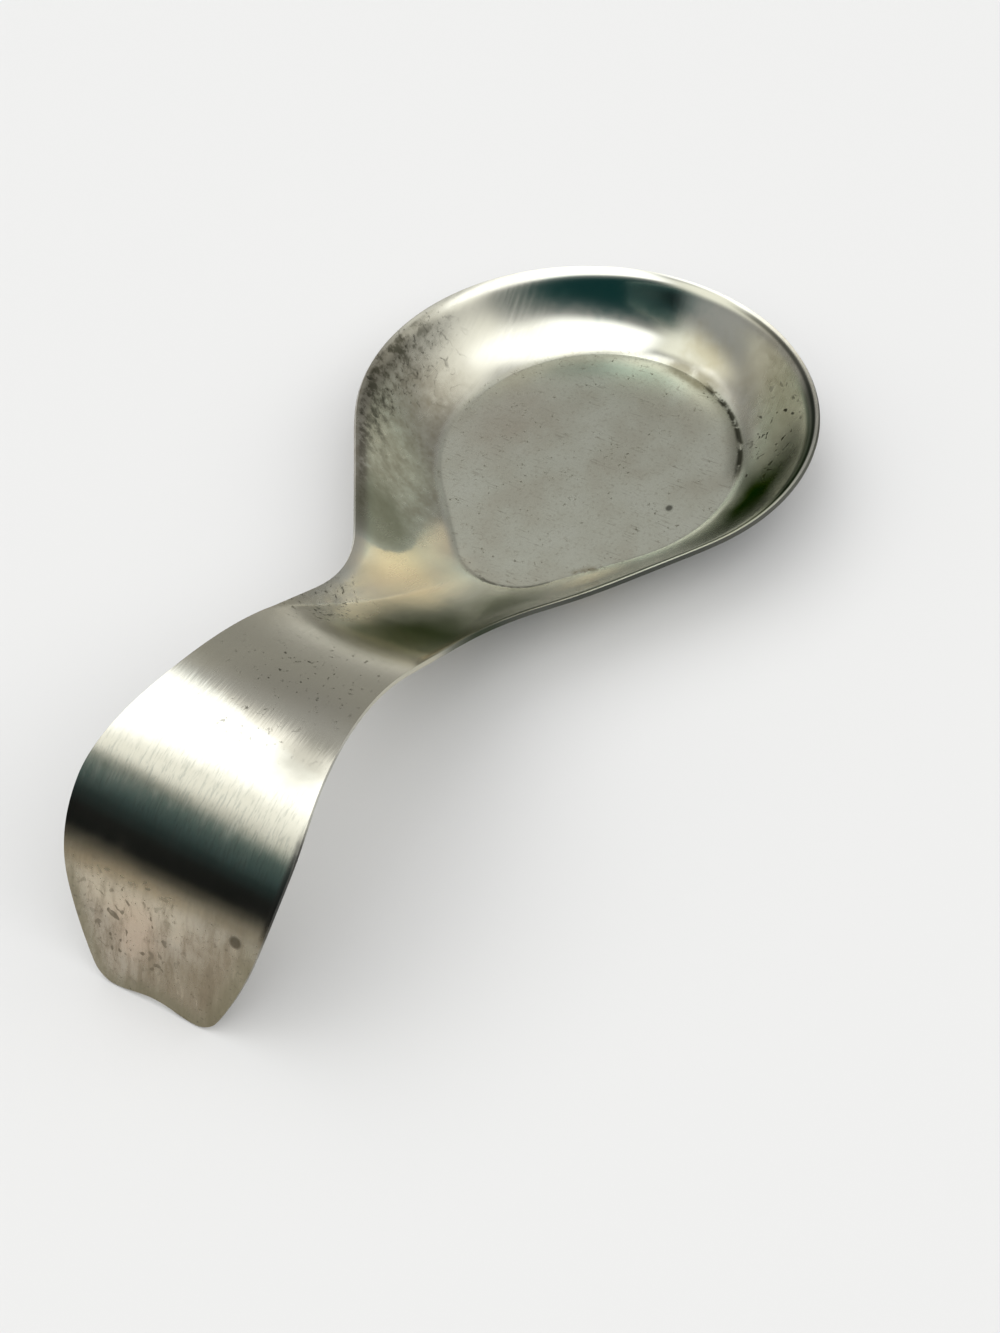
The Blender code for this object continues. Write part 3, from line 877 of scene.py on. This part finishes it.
# painted shade: the far right of the crease darkened to hold down a bright reflection there
lay([(crease_mm, 4.5, 1.8), far_crease_shade], 0.85, "77735F", 0.25)
lay([(crease_mm, 0.9, 0.25), broken, nose_crease], 0.7, "45443A", 0.45)
lay([(crease_mm, 2.4, 0.4), blotchy, near_crease], 0.8, "6E6146", 0.4)
print("deposits:", len(tree.nodes), "nodes so far")

# %% Tide marks
TIDE_MM = (7.0, 7.0, 7.0)
tide = wear(TIDE_MM, detail=2.0, roughness=0.5)
tide_line = area([(tide, 0.48, 0.5), (tide, 0.52, 0.5)])
left_tide = patch((-6.0, 47.0, 14.0), (34.0, 16.0, 20.0), 0.4)
lay([tide_line, left_tide, blotchy], 0.55, "3E3C34", 0.45)
lay([tide_line, on_leg, blotchy], 0.15, "544B3C", 0.4)
print("tide marks:", len(tree.nodes), "nodes so far")

# %% [markdown]
# ### Pits
# Salt eats small dark pits into stainless steel. Where they run together, on the neck, the crest and the
# left rim, they are the peaks of a fine noise. Where they stand apart, on the right wall and the leg, they
# are the middles of Voronoi cells, which are round, and a chance for each cell leaves most of them out.

# %% Pits that run together
SALT_MM = (1.3, 1.3, 1.3)
SALT_STEP = 0.08
NECK_SALT = ((-92.0, 13.0, 28.0), (22.0, 8.0, 14.0), 0.57, 0.8)
CREST_SALT = ((-122.0, -4.0, 42.0), (26.0, 26.0, 14.0), 0.6, 0.85)
LEFT_RIM_SALT = ((-8.0, 48.0, 15.0), (36.0, 10.0, 12.0), 0.58, 0.7)
salt = wear(SALT_MM, detail=4.0, roughness=0.65)
for middle, reach, cut, share in (NECK_SALT, CREST_SALT, LEFT_RIM_SALT):
    lay([(salt, cut, cut + SALT_STEP), patch(middle, reach)], share, "33322A", 0.5, "A0A096")
lay([on_floor, (speckle, 0.61, 0.67), (mottle, 0.56, 0.66)], 0.7, "4A483D", 0.45)
print("pits that run together:", len(tree.nodes), "nodes so far")

# %% Pits that stand apart
PIT_MM = 1.7
spread = add(tree, "ShaderNodeVectorMath", {0: ragged, "Scale": 1.0 / PIT_MM}, operation="SCALE").outputs[0]
cells = add(tree, "ShaderNodeTexVoronoi", {"Vector": spread, "Scale": 1.0})
chance = add(tree, "ShaderNodeSeparateColor", {0: cells.outputs["Color"]}).outputs[0]
pit = area([(cells.outputs["Distance"], 0.45, 0.25), (chance, 0.5, 0.8)])
right_pits = patch((22.0, -38.0, 8.0), (24.0, 13.0, 11.0), 0.4)
leg_pits = patch((-168.0, 6.0, 15.0), (18.0, 18.0, 16.0), 0.3)
floor_pit = patch((-5.3, -24.9, 1.0), (1.6, 1.2, 1.2), 0.4, place_mm)
lay([pit, right_pits], 0.95, "2E2E26", 0.45, "A0A096")
lay([pit, leg_pits], 0.6, "4A4436", 0.45, "A0A096")
lay([floor_pit], 0.85, "2C2B24", 0.5)
print("marks:", len(tree.nodes), "nodes so far")

# %% [markdown]
# ### Press waves and the finished shader
# A pressed sheet is never quite flat, and a mirror shows it: reflections wander a little. A slow noise as
# a bump does that. The grain and the scratches of the handle add very small bumps of their own. Real
# scratches are too fine to show, so these are drawn over half a millimetre apart, and they fade out
# towards the bowl. The films above then go to the shader.

# %% Waves, scratches and grain as bumps
WAVE_MM = (15.0, 15.0, 15.0)
WAVE_HEIGHT = 0.075 * MM
SCRATCH_MM = (5.0, 0.6, 5.0)
SCRATCH_HEIGHT = 0.010 * MM
GRAIN_HEIGHT = 0.0025 * MM
wave = wear(WAVE_MM, detail=1.0, roughness=0.5)
scratch = wear(SCRATCH_MM, detail=2.0, roughness=0.5)
on_handle = area([(along_mm, -95.0, -118.0, 0.1, 1.0)])
waved = add(tree, "ShaderNodeBump", {"Height": wave, "Strength": 1.0, "Distance": WAVE_HEIGHT}).outputs[0]
scratched = add(tree, "ShaderNodeBump", {"Height": scratch, "Normal": waved, "Strength": on_handle,
                                         "Distance": SCRATCH_HEIGHT}).outputs[0]
brushed = add(tree, "ShaderNodeBump", {"Height": grain, "Normal": scratched, "Strength": 1.0,
                                       "Distance": GRAIN_HEIGHT}).outputs[0]
tree.links.new(brushed, shader.inputs["Normal"])
tree.links.new(finish["colour"], shader.inputs["Base Color"])
tree.links.new(finish["rough"], shader.inputs["Roughness"])
tree.links.new(finish["edge"], shader.inputs["Specular Tint"])
print("steel:", len(tree.nodes), "nodes")

# %% Hand the sheet over to the frame
sheet.data.materials.clear()
sheet.data.materials.append(steel)
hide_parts("spoon_rest")
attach(sheet, "root")
print(sheet.name, "stands for the packed sheet, in", steel.name)

# %% [markdown]
# ## The table
# A plain pale table, large enough to fill the view and to be mirrored in the steel to its horizon. Its matt
# paint takes the soft shadow and gives no glint of its own. It lies a hair below the sheet, so that the
# two faces don't fight for the same place.

# %% Table
TABLE_SIZE = 4.0
TABLE_GAP = 0.05 * MM
bpy.ops.object.select_all(action="DESELECT")
bpy.ops.mesh.primitive_plane_add(size=TABLE_SIZE, location=(0.0, 0.0, -TABLE_GAP))
table = bpy.context.active_object
table.name = "pale_table"
bpy.ops.object.transform_apply(location=True, rotation=False, scale=False)
paint = bpy.data.materials.new("matt_white_paint")
paint.use_nodes = True
paint_shader = paint.node_tree.nodes["Principled BSDF"]
paint_shader.inputs["Base Color"].default_value = linear("D1D1D1")
paint_shader.inputs["Roughness"].default_value = 0.9
paint_shader.inputs["Specular IOR Level"].default_value = 0.0
table.data.materials.append(paint)
print("table", TABLE_SIZE, "m across")

# %% [markdown]
# ## The studio
# Metal shows its surroundings, so the studio is part of the look. Lamps would only give small highlights.
# Here the world itself is the light: a grey room that is brighter overhead, a pale panel to the left, a
# side light to the right, a wide white panel behind the camera with a dark screen low down below it, a
# second white panel ahead on the left, and a round light above that. Each is a smooth mask in bearing and
# height, in degrees, so that reflections have soft edges.

# %% Grey room, by height
CEILING = 2.2
ROOM = [(-90, 0.25), (-2, 0.25), (3, 0.24), (12, 0.19), (35, 0.185), (45, 0.24), (55, 0.30), (64, 0.5),
        (72, 0.45), (80, 0.36), (90, 0.36)]


def fill(ramp, stops):
    """Set the colours along a colour ramp, from pairs of a place from 0 to 1 and a colour."""
    while len(ramp.elements) < len(stops):
        ramp.elements.new(0.5)
    for element, (position, colour) in zip(ramp.elements, stops):
        element.position = position
        element.color = colour


world = bpy.data.worlds.new("soft_studio")
bpy.context.scene.world = world
world.use_nodes = True
sky = world.node_tree
sky.nodes.clear()
direction = add(sky, "ShaderNodeTexCoord").outputs["Generated"]
height = add(sky, "ShaderNodeSeparateXYZ", {0: direction}).outputs["Z"]
level = add(sky, "ShaderNodeMapRange", {"Value": height, 1: -1.0, 2: 1.0, 3: 0.0, 4: 1.0}).outputs[0]
greys = add(sky, "ShaderNodeValToRGB", {0: level})
fill(greys.color_ramp, [((1.0 + math.sin(math.radians(degrees))) / 2, (grey, grey, grey, 1.0))
                        for degrees, grey in ROOM])
room = add(sky, "ShaderNodeVectorMath", {0: greys.outputs[0], "Scale": CEILING},
           operation="SCALE").outputs[0]
print("grey room:", len(ROOM), "heights")


# %% How a panel is hung
def sine(degrees):
    """Sine of an angle in degrees, which is also how high that rise is on the world's sphere."""
    return math.sin(math.radians(degrees))


def cosine(degrees):
    """Cosine of an angle in degrees."""
    return math.cos(math.radians(degrees))


def aim(bearing, rise=0.0):
    """Direction to a bearing and a rise above the horizon, both in degrees."""
    return (cosine(rise) * cosine(bearing), cosine(rise) * sine(bearing), sine(rise))


flat = add(sky, "ShaderNodeVectorMath", {0: direction, 1: (1.0, 1.0, 0.0)}, operation="MULTIPLY").outputs[0]
around = add(sky, "ShaderNodeVectorMath", {0: flat}, operation="NORMALIZE").outputs[0]


def panel(below, light, bearing, half, fade, low, high, soft):
    """Hang a panel in the studio: its light, its bearing and half width, and its lower and upper edges."""
    facing = add(sky, "ShaderNodeVectorMath", {0: around, 1: aim(bearing)},
                 operation="DOT_PRODUCT").outputs["Value"]
    mask = area([(facing, cosine(half + fade), cosine(half - fade)),
                 (height, sine(low - soft), sine(low + soft)),
                 (height, sine(high + soft), sine(high - soft))], nodes=sky)
    return add(sky, "ShaderNodeMix", {0: mask, 6: below, 7: light}, data_type="RGBA").outputs[2]


# %% Panels and the round light
WHITE_LIGHT = (CEILING, CEILING, CEILING, 1.0)
PALE_LIGHT = (1.45, 1.43, 1.30, 1.0)
SIDE_LIGHT = (1.4, 1.38, 1.31, 1.0)
DARK_SCREEN = (0.012, 0.070, 0.070, 1.0)
ROUND_AIM = aim(98.0, 66.0)
ROUND_HALF = 16.0
ROUND_FADED = 27.0
lit = panel(room, PALE_LIGHT, bearing=138.0, half=26.0, fade=16.0, low=18.0, high=52.0, soft=8.0)
lit = panel(lit, SIDE_LIGHT, bearing=-62.0, half=30.0, fade=12.0, low=19.0, high=50.0, soft=6.0)
lit = panel(lit, WHITE_LIGHT, bearing=-128.0, half=64.0, fade=10.0, low=31.0, high=80.0, soft=4.0)
lit = panel(lit, DARK_SCREEN, bearing=-149.0, half=44.0, fade=22.0, low=-20.0, high=25.0, soft=7.0)
lit = panel(lit, WHITE_LIGHT, bearing=82.0, half=40.5, fade=3.0, low=34.0, high=62.0, soft=5.0)
towards = add(sky, "ShaderNodeVectorMath", {0: direction, 1: ROUND_AIM},
              operation="DOT_PRODUCT").outputs["Value"]
round_light = area([(towards, cosine(ROUND_FADED), cosine(ROUND_HALF))], nodes=sky)
lit = add(sky, "ShaderNodeMix", {0: round_light, 6: lit, 7: WHITE_LIGHT}, data_type="RGBA").outputs[2]
glow = add(sky, "ShaderNodeBackground", {"Color": lit, "Strength": 1.0}).outputs[0]
add(sky, "ShaderNodeOutputWorld", {"Surface": glow})
print("studio:", len(sky.nodes), "nodes")

# %% [markdown]
# ## A dark card by the handle
# Photographers stand a dark card beside shiny metal to give it an edge. This one stands close to the end
# of the handle, and darkens its shoulder and a little of the far wall. It is felt, which has no sheen. It
# is clear at its foot, so that the leg still mirrors the table, and it fades out at both ends and at its
# top, because a hard edge would show as a line in the steel. It shows in reflections alone.

# %% Card
CARD_HEIGHT = 118.0 * MM
CARD_LEFT = Vector((-0.1720, 0.100, 0.0))
CARD_RIGHT = Vector((-0.2385, -0.067, 0.0))
bpy.ops.object.select_all(action="DESELECT")
bpy.ops.mesh.primitive_plane_add(size=1.0)
card = bpy.context.active_object
card.name = "dark_card"
card_foot = (CARD_LEFT, CARD_RIGHT)
card_head = [foot + Vector((0.0, 0.0, CARD_HEIGHT)) for foot in card_foot]
for vert, corner in zip(card.data.vertices, (*card_foot, *card_head)):
    vert.co = corner
card.visible_camera = False
card.visible_diffuse = False
card.visible_shadow = False
print("card", round((CARD_LEFT - CARD_RIGHT).length / MM), "mm long")

# %% Shaded felt on the card
SHADES = [(0.0, "F2E8D8"), (0.165, "D2C8B6"), (0.235, "6C675E"), (0.305, "101414"), (0.40, "080A0A"),
          (0.50, "1C3234"), (0.59, "466061"), (0.66, "526A6A"), (0.74, "647C7A"), (0.81, "7E908C"),
          (0.88, "A8B0AA")]
CARD_LIFT = 9.0 * MM
TOP_FADE = 22.0 * MM
LEFT_FADE = 48.4 * MM
RIGHT_FADE = 44.0 * MM
felt = bpy.data.materials.new("dark_felt")
felt.use_nodes = True
felt_nodes = felt.node_tree
felt_place = add(felt_nodes, "ShaderNodeTexCoord").outputs["Object"]
felt_axes = add(felt_nodes, "ShaderNodeSeparateXYZ", {0: felt_place})
felt_across = felt_axes.outputs["Y"]
felt_height = felt_axes.outputs["Z"]
felt_share = add(felt_nodes, "ShaderNodeMapRange",
                 {"Value": felt_height, 1: 0.0, 2: CARD_HEIGHT}).outputs[0]
shade = add(felt_nodes, "ShaderNodeValToRGB", {0: felt_share})
fill(shade.color_ramp, [(position, linear(colour)) for position, colour in SHADES])
seen = area([(felt_across, CARD_LEFT.y, CARD_LEFT.y - LEFT_FADE),
             (felt_across, CARD_RIGHT.y, CARD_RIGHT.y + RIGHT_FADE),
             (felt_height, CARD_HEIGHT, CARD_HEIGHT - TOP_FADE),
             (felt_height, CARD_LIFT, 2.0 * CARD_LIFT)], nodes=felt_nodes)
felt_shader = felt_nodes.nodes["Principled BSDF"]
felt_nodes.links.new(shade.outputs[0], felt_shader.inputs["Base Color"])
felt_nodes.links.new(seen, felt_shader.inputs["Alpha"])
felt_shader.inputs["Roughness"].default_value = 1.0
felt_shader.inputs["Specular IOR Level"].default_value = 0.0
card.data.materials.append(felt)
print("felt in", len(SHADES), "shades")

# %% [markdown]
# ## The camera
# The camera looks down over the handle into the bowl. Its place, bearing, dip and lens were worked out
# from the outline in the photograph, so the frame matches without any shift.

# %% Camera
CAMERA_PLACE = Vector((-0.30999, -0.14857, 0.29655))
CAMERA_BEARING = 29.016
CAMERA_DIP = 46.998
SENSOR_MM = 36.0
LENS_MM = 67.37
NEAREST = 10.0 * MM
lens = bpy.data.cameras.new("camera")
lens.sensor_fit = "HORIZONTAL"
lens.sensor_width = SENSOR_MM
lens.lens = LENS_MM
lens.clip_start = NEAREST
camera = bpy.data.objects.new("camera", lens)
look = Vector(aim(CAMERA_BEARING, -CAMERA_DIP))
camera.matrix_world = Matrix.Translation(CAMERA_PLACE) @ look.to_track_quat("-Z", "Y").to_matrix().to_4x4()
bpy.context.scene.collection.objects.link(camera)
bpy.context.scene.camera = camera
bpy.context.scene.view_settings.view_transform = "Standard"
print("camera", round(CAMERA_PLACE.length / MM), "mm from the middle of the bowl")
